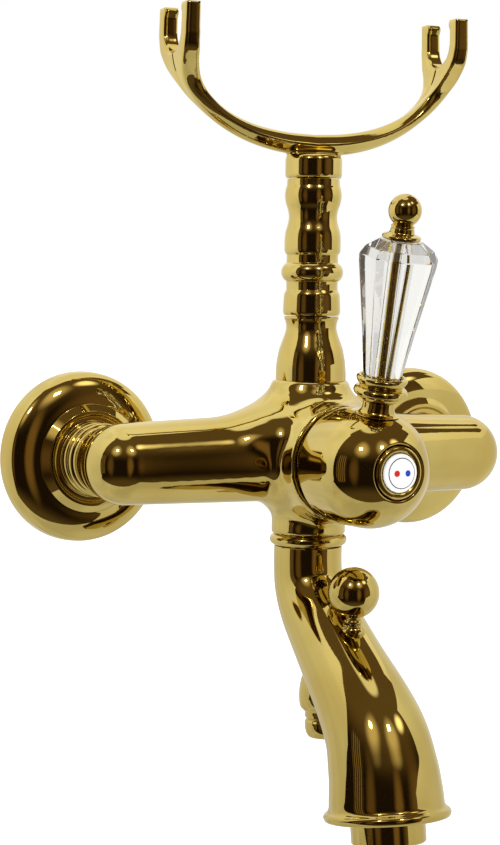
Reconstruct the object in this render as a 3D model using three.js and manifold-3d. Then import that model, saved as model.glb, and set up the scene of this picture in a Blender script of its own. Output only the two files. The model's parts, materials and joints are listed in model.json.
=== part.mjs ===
// Wall mounted bath faucet: a turned brass mixer with a crystal lever, a handset cradle on a
// column, a swan spout with a pull-up diverter, and two eccentric wall unions.
// Millimetres, +Z up. The wall is the plane y = 0 and the faucet stands out of it towards -Y.
// The origin lies on the wall, halfway between the hot and the cold inlet.
import * as THREE from "three";
import { mergeVertices } from "three/addons/utils/BufferGeometryUtils.js";
import Module from "manifold-3d";

const wasm = await Module();
wasm.setup();

// ---- driving dimensions -------------------------------------------------------------------
const GAP = 0.3; // clearance between pieces that touch
const ROUND = 20; // facets round a visible turned piece
const FINE = 12; // facets round a small or inner piece

const INLET_X = 75; // half the 150 mm spacing of the wall inlets
const ELBOW_Y = -39.4; // arm axis in front of the wall, at the elbows
const COLUMN_Y = -46.4; // axis of the column, the body and the spout swivel
const ARM_R = 15; // outer radius of an arm at its elbow
const ARM_ROOT_R = 16.4; // outer radius of an arm where it meets the body
const ARM_BORE = 8;

const BOSS_R = 21.8; // front boss and lever hub
const BOSS_FRONT_Y = -69.9; // front rim of the boss
const CHAMBER_R = 18.2; // cartridge chamber
const CHAMBER_BACK_Y = -44;
const TOP_BOSS_Z = 29; // body top, under the column
const OUTLET_R = 14; // boss under the body
const OUTLET_Z = -27.9; // lowest face of that boss
const OUTLET_BORE = 9.8;

const HUB_BACK_Y = -74.3; // back rim of the lever hub, 4.4 mm ahead of the boss
const HUB_CENTRE_Y = -88; // centre of the hub's dome
const BUTTON_Y = -106.6; // flat land round the button
const PIVOT_Y = -62; // tilt axis of the lever, inside the cartridge
const HANDLE_TILT = THREE.MathUtils.degToRad(12); // handle leans forward

const COLUMN_JOINT_Z = 54.3; // top of the column's vase
const CRADLE_JOINT_Z = 105.7; // top of the column
const CRADLE_TURN = THREE.MathUtils.degToRad(-7); // the cradle stands turned a little

const SPOUT_TOP_Z = -32.6;
const SPOUT_END = new THREE.Vector3(0, -103.3, -122.4); // centre of the flared rim
const SPOUT_TILT = THREE.MathUtils.degToRad(-8); // lean of the outlet's axis
const DIVERTER_Y = -78.9; // axis of the diverter rod
const HOSE_Y = -61; // axis of the hose outlet
const SPOUT_SCREW_Z = -25; // retaining screw of the spout, in the back of the outlet boss
const CRADLE_SCREW_Z = 98; // retaining screw of the cradle, in the back of the column

// ---- materials ----------------------------------------------------------------------------
const paint = (color, roughness, metalness) =>
  new THREE.MeshStandardMaterial({ color, roughness, metalness });
const gold = paint(0xd3b45e, 0.08, 1);
const brass = paint(0xb08d3c, 0.35, 1);
const steel = paint(0xa8a9a6, 0.3, 1);
const rubber = paint(0x1c1c1c, 0.8, 0);
const nylon = paint(0xe9e6dc, 0.5, 0);
const ceramic = paint(0xd9d4c8, 0.3, 0);
const enamel = paint(0xf7f7f4, 0.25, 0);
const crystalGlass = new THREE.MeshStandardMaterial({
  color: 0xeef4f4, roughness: 0.03, metalness: 0, transparent: true, opacity: 0.4,
});

// ---- helpers ------------------------------------------------------------------------------
// A closed mesh: shared vertices merged, slivers dropped, faces pointing out.
function closed(geometry) {
  const bare = geometry.clone();
  bare.deleteAttribute("normal");
  bare.deleteAttribute("uv");
  const merged = mergeVertices(bare, 1e-4);
  const index = merged.index.array;
  const point = merged.attributes.position;
  const a = new THREE.Vector3();
  const b = new THREE.Vector3();
  const c = new THREE.Vector3();
  const kept = [];
  let volume = 0;
  for (let i = 0; i < index.length; i += 3) {
    const [p, q, r] = [index[i], index[i + 1], index[i + 2]];
    if (p === q || q === r || r === p) continue;
    kept.push(p, q, r);
    a.fromBufferAttribute(point, p);
    b.fromBufferAttribute(point, q);
    c.fromBufferAttribute(point, r);
    volume += a.dot(b.cross(c));
  }
  if (volume < 0) kept.reverse();
  merged.setIndex(kept);
  return merged;
}

function solid(geometry) {
  const mesh = closed(geometry);
  return new wasm.Manifold(new wasm.Mesh({
    numProp: 3,
    vertProperties: new Float32Array(mesh.attributes.position.array),
    triVerts: new Uint32Array(mesh.index.array),
  }));
}

function geometryOf(body) {
  const mesh = body.getMesh();
  const geometry = new THREE.BufferGeometry();
  geometry.setAttribute("position", new THREE.BufferAttribute(mesh.vertProperties, 3));
  geometry.setIndex(new THREE.BufferAttribute(mesh.triVerts, 1));
  return geometry;
}

// Points of a round stretch of outline, angles in degrees, as [radius, height] pairs.
function arc(r, h, size, from, to, steps = 6) {
  const points = [];
  for (let i = 0; i <= steps; i++) {
    const angle = THREE.MathUtils.degToRad(from + ((to - from) * i) / steps);
    points.push([r + size * Math.cos(angle), h + size * Math.sin(angle)]);
  }
  return points;
}

// A turned piece about +Z from an outline of [radius, height] pairs. An outline that starts
// and ends on the axis is solid; any other is closed on itself, which leaves a bore.
function turned(outline, facets = ROUND) {
  const last = outline[outline.length - 1];
  const ring = outline[0][0] > 0 || last[0] > 0;
  const points = (ring ? [...outline, outline[0]] : outline)
    .map(([r, h]) => new THREE.Vector2(r, h));
  return closed(new THREE.LatheGeometry(points, facets).rotateX(Math.PI / 2));
}

const rod = (radius, from, to, facets = FINE) =>
  turned([[0, from], [radius, from], [radius, to], [0, to]], facets);
const tube = (inner, outer, from, to, facets = FINE) =>
  turned([[inner, from], [outer, from], [outer, to], [inner, to]], facets);
const oRing = (radius, thickness, height) =>
  turned(arc(radius, height, thickness / 2, 0, 288, 4), FINE);

// Moves a geometry made about +Z so that its axis points out of the wall.
const forward = (geometry, x = 0, y = 0, z = 0) =>
  geometry.rotateX(Math.PI / 2).translate(x, y, z);
const raised = (geometry, x, y, z) => geometry.translate(x, y, z);

// Bends a geometry made about +Z so that its axis follows a flat curve; height runs along the
// curve and `side` is the direction square to the curve's plane.
function bent(geometry, curve, side) {
  const length = curve.getLength();
  const point = geometry.attributes.position;
  for (let i = 0; i < point.count; i++) {
    const u = THREE.MathUtils.clamp(point.getZ(i) / length, 0, 1);
    const along = curve.getTangentAt(u);
    const across = new THREE.Vector3().crossVectors(along, side);
    const place = curve.getPointAt(u)
      .addScaledVector(side, point.getX(i))
      .addScaledVector(across, point.getY(i));
    point.setXYZ(i, place.x, place.y, place.z);
  }
  return closed(geometry);
}

const faucet = new THREE.Group();
const lever = new THREE.Group(); // about the hub's dome centre, in the handle's own lean
const cradleGroup = new THREE.Group(); // about the column's axis
const outletGroup = new THREE.Group(); // about the spout's outlet axis
lever.position.set(0, HUB_CENTRE_Y, 0);
lever.rotation.x = HANDLE_TILT;
cradleGroup.position.set(0, COLUMN_Y, 0);
cradleGroup.rotation.z = CRADLE_TURN;
outletGroup.position.copy(SPOUT_END);
outletGroup.rotation.x = SPOUT_TILT;
faucet.add(lever, cradleGroup, outletGroup);

function add(name, geometry, material, parent = faucet) {
  const mesh = new THREE.Mesh(geometry, material);
  mesh.name = name;
  parent.add(mesh);
  return mesh;
}

// Adds a piece turned about an axis that points out of the wall at x, starting at y = 0.
function addForward(name, geometry, material, x = 0) {
  const mesh = add(name, geometry, material);
  mesh.rotation.x = Math.PI / 2;
  mesh.position.x = x;
}

// Adds a piece turned about the column's axis.
function addOnColumn(name, geometry, material) {
  add(name, geometry, material).position.y = COLUMN_Y;
}

// ---- wall unions, escutcheons and union nuts ----------------------------------------------
const UNION_BACK = -20; // behind the wall plane
const UNION_FRONT = 17;
const TAIL_START = 19.3; // body tail, behind the inlet seal

function wallUnion() {
  return turned([
    [6.5, UNION_BACK], [9.6, UNION_BACK], [10.4, UNION_BACK + 1], [10.4, -1.5], [11.6, -1.5],
    [11.6, 7], [11, 8], [11, 13], [11.9, 13.6], [11.9, UNION_FRONT], [6.5, UNION_FRONT],
  ], FINE);
}

function escutcheon() {
  return turned([
    [27, 0], [32, 0], [32.3, 1.6],
    ...arc(24.4, 5.2, 7.8, -8, 62, 4),
    [24.4, 12.7], [21, 12.9], [18.6, 12.9], [18.4, 14.6], [17.6, 15.2], [12.4, 15.2],
    [12.4, 11], [22, 10.6], [27.6, 6],
  ]);
}

function unionNut() {
  return turned([
    [12.3, 15.6], [13, 15.6], [13.9, 16.4], [13.9, 18.2], [13.2, 19], [13.9, 19.8],
    [13.9, 23.2], [13, 24], [10.4, 24], [10.4, 22.2], [12.3, 22.2],
  ], FINE);
}

for (const [side, x] of [["left", -INLET_X], ["right", INLET_X]]) {
  addForward(`wall_union_${side}`, wallUnion(), brass, x);
  addForward(`escutcheon_${side}`, escutcheon(), gold, x);
  addForward(`union_nut_${side}`, unionNut(), gold, x);
  addForward(`inlet_seal_${side}`, tube(6.5, 11.2, UNION_FRONT + GAP, 19), rubber, x);
}

// ---- mixer body ---------------------------------------------------------------------------
// The arms run from one elbow to the other on a shallow bow through the body's centre.
const ARM_MIDDLE_Y = -44.9; // where the bow passes the body's centre
const armPath = new THREE.CatmullRomCurve3([
  [-INLET_X, ELBOW_Y], [-INLET_X / 2, (ELBOW_Y + COLUMN_Y) / 2], [0, ARM_MIDDLE_Y],
  [INLET_X / 2, (ELBOW_Y + COLUMN_Y) / 2], [INLET_X, ELBOW_Y],
].map(([x, y]) => new THREE.Vector3(x, y, 0)));

function mixerBody() {
  const length = armPath.getLength();
  const up = new THREE.Vector3(0, 0, 1);
  const arms = bent(turned([
    [0, 0], [ARM_R, 0], [ARM_R + 0.4, length * 0.15], [ARM_R + 0.8, length * 0.3],
    [ARM_ROOT_R, length * 0.4], [ARM_ROOT_R, length * 0.6], [ARM_R + 0.8, length * 0.7],
    [ARM_R + 0.4, length * 0.85], [ARM_R, length], [0, length],
  ]), armPath, up);
  let body = solid(arms);
  for (const x of [-INLET_X, INLET_X]) {
    const ball = new THREE.SphereGeometry(ARM_R, ROUND, 10).rotateX(Math.PI / 2);
    body = body.add(solid(raised(ball, x, ELBOW_Y, 0)));
    const tail = turned([
      [0, TAIL_START], [11.7, TAIL_START], [11.7, 21.8], [10, 21.8], [10, 24.4], [12.4, 24.6],
      [13.2, 27], [13.2, 34], [0, 34],
    ]);
    body = body.add(solid(forward(tail, x)));
  }
  const boss = turned([
    [0, 28], [14, 28.5], [19.5, 33], [BOSS_R - 0.4, 40], [BOSS_R, 46], [BOSS_R, 68.9],
    [BOSS_R - 0.8, -BOSS_FRONT_Y], [0, -BOSS_FRONT_Y],
  ]);
  const collar = turned([
    [0, OUTLET_Z], [OUTLET_R - 0.5, OUTLET_Z], [OUTLET_R, OUTLET_Z + 0.6],
    [OUTLET_R, -21], [15.5, -17], [20, -9], [21, 0], [20.2, 12], [16.4, 19],
    [13.8, 25], [13.2, TOP_BOSS_Z], [0, TOP_BOSS_Z],
  ]);
  body = body.add(solid(forward(boss))).add(solid(raised(collar, 0, COLUMN_Y, 0)));
  return geometryOf(waterways(body, length, up));
}

// The chamber, the column's socket, the outlet and the two bent inlet bores.
function waterways(body, length, up) {
  const chamber = rod(CHAMBER_R, -CHAMBER_BACK_Y, -BOSS_FRONT_Y + 1, ROUND);
  const outlet = rod(OUTLET_BORE, OUTLET_Z - 1, -12);
  const socket = rod(7, 21, TOP_BOSS_Z + 1);
  const retainer = rod(1.9, COLUMN_Y + 5, COLUMN_Y + 18, 12).rotateX(-Math.PI / 2);
  const cross = bent(rod(ARM_BORE, 0, length), armPath, up);
  let open = body.subtract(solid(forward(chamber)))
    .subtract(solid(raised(outlet, 0, COLUMN_Y, 0)))
    .subtract(solid(raised(socket, 0, COLUMN_Y, 0)))
    .subtract(solid(raised(retainer, 0, 0, SPOUT_SCREW_Z)))
    .subtract(solid(cross));
  for (const x of [-INLET_X, INLET_X]) {
    open = open.subtract(solid(forward(rod(ARM_BORE - 0.4, 18, -ELBOW_Y), x)));
  }
  return open;
}

add("mixer_body", mixerBody(), gold);

// ---- cartridge ----------------------------------------------------------------------------
function cartridgeHousing() {
  const cup = turned([
    [0, 46.1], [17.3, 46.1], [17.6, 46.5], [17.6, 66], [10.5, 66], [10.5, 64.2],
    [14.6, 64.2], [14.6, 47.6], [0, 47.6],
  ]);
  let body = solid(cup);
  for (let i = 0; i < 3; i++) {
    const angle = (i * 2 * Math.PI) / 3;
    const port = rod(3.4, 45, 49, 16).translate(8 * Math.cos(angle), 8 * Math.sin(angle), 0);
    body = body.subtract(solid(port));
  }
  return geometryOf(body);
}

function fixedDisc() {
  let body = solid(rod(14.2, 47.9, 51.2));
  for (let i = 0; i < 3; i++) {
    const angle = (i * 2 * Math.PI) / 3;
    const port = rod(3, 47, 52, 16).translate(8 * Math.cos(angle), 8 * Math.sin(angle), 0);
    body = body.subtract(solid(port));
  }
  return geometryOf(body);
}

// The upper disc has a shallow mixing chamber below and a pocket for the stem's tip above.
function movingDisc() {
  const blank = turned([[0, 51.5], [11.4, 51.5], [11.4, 55.2], [0, 55.2]]);
  const mixing = rod(6.5, 51, 52.6);
  const pocket = rod(2.8, 53.4, 56, 16);
  return geometryOf(solid(blank).subtract(solid(mixing)).subtract(solid(pocket)));
}

// The turret turns in the housing and carries the lever's cross pin.
function turret() {
  const blank = turned([
    [0, 55.6], [14.1, 55.6], [14.1, 63.8], [9.8, 63.8], [9.8, 65.6], [0, 65.6],
  ]);
  const slot = closed(new THREE.BoxGeometry(8.2, 15, 14).translate(0, 0, 60));
  return geometryOf(solid(blank).subtract(solid(slot)));
}

// The stem tilts on its pin: a flat blade inside the turret and a round shank for the hub.
function cartridgeStem() {
  const blade = closed(new THREE.BoxGeometry(7.2, 7.2, 10.6).translate(0, 0, 61.3));
  const tip = rod(2.2, 53.9, 56.4, 16);
  const shank = rod(4.2, 66, 95, FINE);
  const thread = rod(2.7, 88, 96, 16);
  return geometryOf(solid(blade).add(solid(tip)).add(solid(shank)).subtract(solid(thread)));
}

addForward("cartridge_base_seal", tube(13.2, 16.8, 44.3, 45.8), rubber);
addForward("cartridge_housing", cartridgeHousing(), nylon);
addForward("cartridge_fixed_disc", fixedDisc(), ceramic);
addForward("cartridge_moving_disc", movingDisc(), ceramic);
addForward("cartridge_turret", turret(), nylon);
addForward("cartridge_stem", cartridgeStem(), steel);
addForward("cartridge_nut", turned([
  [13.6, 66.3], [17.9, 66.3], [17.9, 69.6], [16.4, 70.6], [13.6, 70.6],
], 24), brass);

// ---- lever hub, button and index disc -----------------------------------------------------
function leverHub() {
  const dome = HUB_CENTRE_Y * -1;
  const land = 10.9; // radius of the flat land, outside the groove
  const end = THREE.MathUtils.radToDeg(Math.acos(land / BOSS_R));
  const shell = turned([
    [18.6, -HUB_BACK_Y], [BOSS_R - 0.6, -HUB_BACK_Y], [BOSS_R, -HUB_BACK_Y + 0.6],
    ...arc(0, dome, BOSS_R, 0, end, 6),
    [10.1, -BUTTON_Y], [10.1, 101], [2.9, 101], [2.9, 96], [4.5, 96], [4.5, 85],
    [13, 85], [18.6, 80],
  ]);
  const socket = rod(3.1, 12, 24, 16).rotateX(HANDLE_TILT - Math.PI / 2).translate(0, 0, dome);
  return geometryOf(solid(shell).subtract(solid(socket)));
}

function hubButton() {
  return turned([
    [0, 104.2], [9.7, 104.2], [9.7, 106], ...arc(7.9, 106.2, 1.8, 0, 80, 4),
    [6.9, 107.6], [6.9, 106.9], [0, 106.9],
  ]);
}

addForward("lever_hub", leverHub(), gold);
addForward("lever_screw", turned([
  [0, 89], [2.4, 89], [2.4, 101.3], [4.2, 101.3], [4.2, 103.7], [2, 103.7], [2, 102.4],
  [0, 102.4],
], FINE), steel);
addForward("hub_button", hubButton(), gold);
addForward("index_disc", turned([
  [0, 107.2], [6.6, 107.2], [6.6, 107.8], [4.4, 108.2], [0, 108.4],
], FINE), enamel);

// ---- crystal handle -----------------------------------------------------------------------
// Heights are measured from the centre of the hub's dome along the handle.
function handleStem() {
  const outline = turned([
    [0, 19], [8.2, 19], [7.2, 22.4], [5.9, 23.6], [5.7, 25.4], [0, 25.4],
  ]);
  const seat = new THREE.SphereGeometry(BOSS_R + GAP, 24, 16);
  const spigot = rod(2.8, 14, 22, 16);
  const thread = rod(1.9, 20, 27, 16);
  return geometryOf(
    solid(outline).subtract(solid(seat)).add(solid(spigot)).subtract(solid(thread)),
  );
}

function crystalCup() {
  return turned([
    [2.6, 25.7], [6.4, 25.7], [7.2, 26.4], [7.4, 27.2],
    ...arc(8, 29, 1.8, -60, 60, 4),
    [7.9, 31.2], [8.8, 32.2], [9.2, 33.8], [8.4, 34.7], [7.7, 34.7], [7.3, 32.4],
    [2.6, 32.4],
  ]);
}

// Eight long facets that widen to the shoulder, then eight short ones up to the neck.
function crystal() {
  const sides = 8;
  const flare = [[6.6, 32.8], [7.3, 36], [9.4, 50], [13.6, 74]];
  const crown = [[14.4, 76.4], [13.9, 78.4], [7.2, 84]];
  const blank = turned([[0, 32.8], ...flare, ...crown, [0, 84]], sides);
  const bore = rod(2.7, 32, 85, 16);
  return geometryOf(solid(blank.rotateZ(Math.PI / sides)).subtract(solid(bore)));
}

function tieRod() {
  return turned([[0, 21], [1.6, 21], [1.6, 25.7], [2.2, 25.7], [2.2, 94.2], [0, 94.2]], 16);
}

function topCollar() {
  return turned([
    [2.6, 84.4], [7.6, 84.4], [7.8, 85.4], [6.6, 86.4], [4.6, 87], [3.6, 88.4], [2.6, 88.4],
  ], FINE);
}

function ballFinial() {
  const radius = 5.9;
  return turned([[2.6, 88.7], [3.4, 89.2], ...arc(0, 94.6, radius, -52, 90, 7),
    [0, 94.6], [2.6, 94.6]], FINE);
}

add("handle_stem", handleStem(), gold, lever);
add("crystal_cup", crystalCup(), gold, lever);
add("crystal_lever", crystal(), crystalGlass, lever);
add("tie_rod", tieRod(), gold, lever);
add("top_collar", topCollar(), gold, lever);
add("ball_finial", ballFinial(), gold, lever);

// ---- column and cradle --------------------------------------------------------------------
const SOCKET_R = 6.3;
const SPIGOT_R = 6;

function columnBase() {
  return turned([
    [0, 21.4], [6.6, 21.4], [6.6, 29.3], [12.8, 29.3], [13.2, 30], [13.1, 35], [12.8, 38],
    [12.2, 41], [11.4, 44], [10.1, 47], [9.5, 50], [9.9, 52.6], [10.3, 53.4],
    [10.3, COLUMN_JOINT_Z], [SOCKET_R, COLUMN_JOINT_Z], [SOCKET_R, 45], [0, 45],
  ]);
}

function columnShaft() {
  const blank = turned([
    [0, 45.4], [SPIGOT_R, 45.4], [SPIGOT_R, COLUMN_JOINT_Z + GAP],
    [10.4, COLUMN_JOINT_Z + GAP], [10.8, 55.8], [10.6, 59], [10.5, 62.6], [9.8, 64],
    [9.8, 65.6], ...arc(7.6, 70.8, 4.1, -56, 56, 4), [9.8, 76], [9.8, 77.2], [10.5, 78.6],
    [10.5, 84], [10.2, 86.2], [9.4, 88.8], [9, 91.6], [9.5, 94.6], [10.4, 96.8],
    [10.6, 99.2], [10.4, 101.4], [9.9, 103], [9.9, CRADLE_JOINT_Z],
    [SOCKET_R, CRADLE_JOINT_Z], [SOCKET_R, 92], [0, 92],
  ]);
  const screwHole = rod(1.8, 5, 12, 12).rotateX(-Math.PI / 2).translate(0, 0, CRADLE_SCREW_Z);
  return geometryOf(solid(blank).subtract(solid(screwHole)));
}

addOnColumn("column_base", columnBase(), gold);
addOnColumn("column_shaft", columnShaft(), gold);

// A screw with its point towards the column's axis, entering from the wall side.
function setScrew(radius, from, to, height) {
  const screw = turned([[0, from], [radius, from], [radius, to], [0.8, to],
    [0.8, to - 1.6], [0, to - 1.6]], 16);
  return screw.rotateX(-Math.PI / 2).translate(0, 0, height);
}

addOnColumn("cradle_screw", setScrew(1.5, 4.9, 9.4, CRADLE_SCREW_Z), steel);

const FORK_REACH = 54; // prongs either side of the column
const PRONG_TOP = 167.5;
const PRONG_OUT = 14.3; // outer face of a prong, front and back
const SLOT_R = 8.7; // half the gap between the two prongs
const SLOT_CENTRE_Z = 158.7;

// The yoke seen from the front: a bow whose ends rise into the forks.
function yokeFront() {
  const outer = [[0, 114.2], [14, 115.4], [26, 118.4], [36, 122.9], [44.4, 128.6],
    [51, 135], [55.4, 141.6], [57.6, 148.5], [57.4, 158]];
  const inner = [[51.6, 158], [51.2, 152], [49.6, 145], [46.6, 139.4], [41.4, 133.8],
    [34, 129], [24, 125.2], [12, 123], [0, 122.3]];
  const tip = [[FORK_REACH + 3, PRONG_TOP], [FORK_REACH - 2.6, PRONG_TOP]];
  const half = [...outer, ...tip, ...inner];
  const mirrored = half.slice(1, -1).reverse().map(([s, z]) => [-s, z]);
  return new THREE.Shape([...half, ...mirrored].map(([s, z]) => new THREE.Vector2(s, z)));
}

// The yoke seen from its end: a narrow bar that spreads into two prongs round a slot.
function yokeSide() {
  const flank = [[4.2, 110], [4.2, 134], [5.4, 140], [9.4, 146], [12.8, 151],
    [PRONG_OUT, 156], [PRONG_OUT, PRONG_TOP]];
  const beak = [[SLOT_R - 0.3, PRONG_TOP], [SLOT_R - 1.4, 165.6], [SLOT_R, 163.4]];
  const slot = arc(0, SLOT_CENTRE_Z, SLOT_R, 0, -180, 10);
  const outline = [...flank, ...beak, ...slot,
    ...beak.slice().reverse().map(([t, z]) => [-t, z]),
    ...flank.slice().reverse().map(([t, z]) => [-t, z])];
  return new THREE.Shape(outline.map(([t, z]) => new THREE.Vector2(t, z)));
}

function cradle() {
  const depth = 2 * PRONG_OUT + 2;
  const width = 2 * FORK_REACH + 20;
  const front = new THREE.ExtrudeGeometry(yokeFront(), { depth, bevelEnabled: false })
    .rotateX(Math.PI / 2).translate(0, depth / 2, 0);
  const side = new THREE.ExtrudeGeometry(yokeSide(), { depth: width, bevelEnabled: false })
    .rotateX(Math.PI / 2).rotateZ(Math.PI / 2).translate(-width / 2, 0, 0);
  const base = turned([
    [0, 92.6], [SPIGOT_R, 92.6], [SPIGOT_R, 96.2], [4.6, 96.2], [4.6, 99.8],
    [SPIGOT_R, 99.8], [SPIGOT_R, 102], [4.6, 102], [4.6, 104], [SPIGOT_R, 104],
    [SPIGOT_R, CRADLE_JOINT_Z + GAP], [10.2, CRADLE_JOINT_Z + GAP], [10.7, 107],
    [10.7, 113.6], [9.6, 115.4], [6, 116.6], [0, 117],
  ]);
  return geometryOf(solid(front).intersect(solid(side)).add(solid(base)));
}

add("cradle", cradle(), gold, cradleGroup);
add("cradle_o_ring", oRing(5.45, 1.3, 103), rubber, cradleGroup);

// ---- spout --------------------------------------------------------------------------------
const spoutPath = new THREE.CatmullRomCurve3([
  [COLUMN_Y, SPOUT_TOP_Z], [COLUMN_Y, -39], [-47.6, -47.4], [-53, -56], [-62, -64.4],
  [-75.6, -76.8], [-87, -87], [-95.8, -97], [-100.2, -107.4], [-102, -114],
  [SPOUT_END.y, SPOUT_END.z], [-103.7, -125.2],
].map(([y, z]) => new THREE.Vector3(0, y, z)));
const SPOUT_LENGTH = spoutPath.getLength();
const ACROSS = new THREE.Vector3(1, 0, 0);
const MOUTH_R = 14.3; // recess that takes the aerator
const MOUTH_DEPTH = 10.4;

// Outline stations are given as a share of the spout's length.
const along = (share, radius) => [radius, share * SPOUT_LENGTH];

function spout() {
  const outer = bent(turned([
    [0, 0], along(0, 12.9), along(0.1, 13), along(0.2, 13.6), along(0.32, 14.8),
    along(0.45, 15.5), along(0.58, 16.8), along(0.7, 18.4), along(0.8, 19.6),
    along(0.88, 20.3), along(0.93, 21), along(0.965, 22.4), along(0.985, 23.2),
    along(0.995, 22.8), along(1, 21.6), [0, SPOUT_LENGTH],
  ]), spoutPath, ACROSS);
  const passage = bent(turned([
    [0, 0], along(0, 6.5), along(0.15, 9), along(0.35, 11.4), along(0.6, 12.4),
    along(0.85, 12.4), [12.4, SPOUT_LENGTH - MOUTH_DEPTH], [MOUTH_R, SPOUT_LENGTH - MOUTH_DEPTH],
    [MOUTH_R, SPOUT_LENGTH], [0, SPOUT_LENGTH],
  ], FINE), spoutPath, ACROSS);
  const neck = rod(9.4, SPOUT_TOP_Z - 1, -18.7);
  const hoseBoss = turned([
    [0, -93.5], [9.4, -93.5], [10.2, -92.7], [10.2, -78], [0, -78],
  ], FINE);
  const sealGroove = tube(8.1, 10, -22.3, -19.7);
  const screwGroove = tube(8.1, 10, -26.8, -23.2);
  return geometryOf(
    solid(outer)
      .add(solid(raised(neck, 0, COLUMN_Y, 0)))
      .add(solid(raised(hoseBoss, 0, HOSE_Y, 0)))
      .subtract(solid(passage))
      .subtract(solid(raised(rod(6.5, SPOUT_TOP_Z - 2, -13), 0, COLUMN_Y, 0)))
      .subtract(solid(raised(sealGroove, 0, COLUMN_Y, 0)))
      .subtract(solid(raised(screwGroove, 0, COLUMN_Y, 0)))
      .subtract(solid(raised(rod(5, -70, -52), 0, DIVERTER_Y, 0)))
      .subtract(solid(raised(rod(8, -95, -83), 0, HOSE_Y, 0)))
      .subtract(solid(raised(rod(5, -95, -72), 0, HOSE_Y, 0))),
  );
}

addOnColumn("spout_ring", turned([
  [OUTLET_BORE, -32.3], [12.6, -32.3], ...arc(12.7, -30.25, 2.05, -80, 80, 4),
  [12.6, -28.2], [OUTLET_BORE, -28.2],
]), gold);
add("spout", spout(), gold);
addOnColumn("spout_o_ring", oRing(8.7, 1.3, -21), rubber);
addOnColumn("spout_screw", setScrew(1.6, 8.5, 13.4, SPOUT_SCREW_Z), steel);
add("hose_outlet", turned([
  [4.6, -103.5], [7.2, -103.5], [7.9, -102.6], [7.9, -93.8], [7.7, -93.8], [7.7, -83.6],
  [4.6, -83.6],
], FINE), gold).position.y = HOSE_Y;

// ---- aerator ------------------------------------------------------------------------------
// Heights are measured from the spout's rim centre, up the outlet's leaning axis.
function aeratorInsert() {
  let body = solid(rod(10.9, -9.2, -2));
  for (let i = 0; i < 8; i++) {
    const angle = (i * Math.PI) / 4;
    const hole = rod(1.8, -10, -1, 8).translate(7 * Math.cos(angle), 7 * Math.sin(angle), 0);
    body = body.subtract(solid(hole));
  }
  return geometryOf(body);
}

add("aerator_shell", turned([
  [9.8, -11.4], [12.9, -11.4], [13.6, -10.7], [13.6, 5], [11.2, 5], [11.2, -9.6], [9.8, -9.6],
]), gold, outletGroup);
add("aerator_insert", aeratorInsert(), nylon, outletGroup);
add("aerator_seal", tube(9.4, 13, 5.2, 6.5), rubber, outletGroup);

// ---- diverter -----------------------------------------------------------------------------
function addOnDiverter(name, geometry, material) {
  add(name, geometry, material).position.y = DIVERTER_Y;
}

const KNOB_R = 9.5;
const KNOB_Z = -46.6;

addOnDiverter("diverter_gland", turned([
  [1.9, -66], [4.2, -66], [4.2, -62.4], ...arc(2.8, -60.4, 1.8, -30, 60, 3), [3.2, -58.3],
  [1.9, -58.3], [1.9, -61.4], [3.1, -61.4], [3.1, -65], [1.9, -65],
], FINE), gold);
addOnDiverter("diverter_packing", tube(1.9, 2.8, -64.6, -61.8, 16), rubber);
addOnDiverter("diverter_knob", turned([
  [1.9, -57.8], [3.2, -57.8], [3.4, -57], [2.6, -56.2], ...arc(0, KNOB_Z, KNOB_R, -73, 90, 8),
  [0, -48], [1.9, -48],
]), gold);
addOnDiverter("diverter_rod", rod(1.6, -88.4, -48.3, 16), steel);
addOnDiverter("diverter_valve", tube(1.9, 6, -87.6, -84.6), brass);
addOnDiverter("diverter_seal", tube(1.9, 5.6, -84.3, -82.9), rubber);

export default faucet;
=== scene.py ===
"""Wall mounted bath faucet in polished gold with a crystal lever, a handset cradle on a turned
column and a swan spout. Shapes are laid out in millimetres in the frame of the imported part."""
import json
import math

import bmesh
import bpy
import numpy as np
from mathutils import Matrix, Vector

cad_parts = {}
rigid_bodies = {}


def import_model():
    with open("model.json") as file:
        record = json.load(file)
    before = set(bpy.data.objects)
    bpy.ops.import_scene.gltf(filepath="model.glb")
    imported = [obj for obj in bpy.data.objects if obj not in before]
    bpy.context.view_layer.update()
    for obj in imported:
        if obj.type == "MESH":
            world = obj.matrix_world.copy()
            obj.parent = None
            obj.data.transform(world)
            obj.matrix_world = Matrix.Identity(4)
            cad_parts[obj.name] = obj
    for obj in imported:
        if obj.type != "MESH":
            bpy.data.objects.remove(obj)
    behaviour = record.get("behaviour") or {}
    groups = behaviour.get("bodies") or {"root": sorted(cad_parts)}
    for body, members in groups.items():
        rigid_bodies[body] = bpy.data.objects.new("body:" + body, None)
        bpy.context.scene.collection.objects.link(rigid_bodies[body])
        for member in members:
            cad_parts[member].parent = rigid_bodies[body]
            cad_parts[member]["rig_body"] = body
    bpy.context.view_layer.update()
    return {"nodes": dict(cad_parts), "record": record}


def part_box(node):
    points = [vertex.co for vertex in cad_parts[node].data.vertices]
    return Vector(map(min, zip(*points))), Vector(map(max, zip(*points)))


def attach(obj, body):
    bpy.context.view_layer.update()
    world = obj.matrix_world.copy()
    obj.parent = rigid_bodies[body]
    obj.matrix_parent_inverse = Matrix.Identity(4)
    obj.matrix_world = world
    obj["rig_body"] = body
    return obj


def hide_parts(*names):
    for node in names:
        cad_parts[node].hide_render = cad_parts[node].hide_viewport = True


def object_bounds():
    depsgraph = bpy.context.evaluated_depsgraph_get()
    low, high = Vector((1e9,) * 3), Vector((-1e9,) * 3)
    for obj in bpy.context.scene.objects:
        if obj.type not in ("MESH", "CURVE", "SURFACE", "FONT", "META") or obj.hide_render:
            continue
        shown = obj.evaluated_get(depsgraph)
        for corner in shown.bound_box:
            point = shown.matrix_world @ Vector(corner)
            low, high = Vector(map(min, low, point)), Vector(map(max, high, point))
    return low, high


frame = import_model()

MM = 0.001
NUT_PROUD = 0.7  # how far the cartridge nut stands out of the body's boss
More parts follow.
